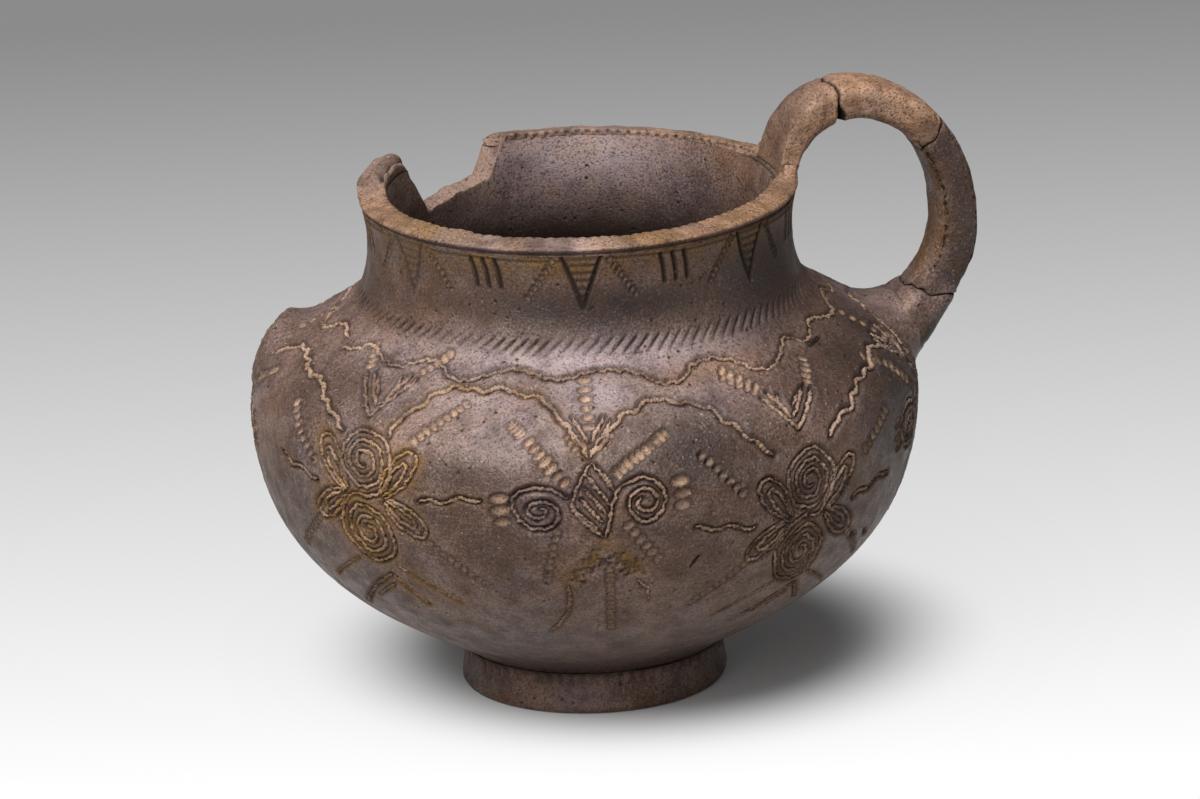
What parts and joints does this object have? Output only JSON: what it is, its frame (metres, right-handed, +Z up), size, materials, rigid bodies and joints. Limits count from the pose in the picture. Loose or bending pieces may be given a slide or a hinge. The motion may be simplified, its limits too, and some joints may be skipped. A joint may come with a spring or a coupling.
{
  "type": "pottery jar",
  "caption": "Hand-built earthenware jar with foot ring, round belly, short neck and a high looped strap handle; the rim is broken and stumps of a lost second handle remain.",
  "frame": {"origin": "centre of the footprint, on the surface that the foot ring stands on", "axes": "+Z up, +X towards the surviving handle, -Y towards the front"},
  "size_m": [0.1852, 0.1664, 0.1481],
  "materials": {
    "brown_burnished_clay": "burnished, unglazed",
    "grey_burnished_clay": "burnished, unglazed",
    "tan_clay": "smoothed, unglazed",
    "pink_tan_clay": "worn, unglazed",
    "broken_clay": "rough broken face"
  },
  "bodies": {
    "root": {"foot_ring": "brown_burnished_clay", "lower_bowl": "brown_burnished_clay", "shoulder": "grey_burnished_clay", "neck": "grey_burnished_clay", "rim_coil": "tan_clay", "handle_rim_root": "pink_tan_clay", "handle_crown": "pink_tan_clay", "handle_outer_arm": "tan_clay", "handle_shoulder_root": "grey_burnished_clay", "lost_handle_rim_stump": "broken_clay", "lost_handle_shoulder_stump": "broken_clay"}
  },
  "joints": []
}
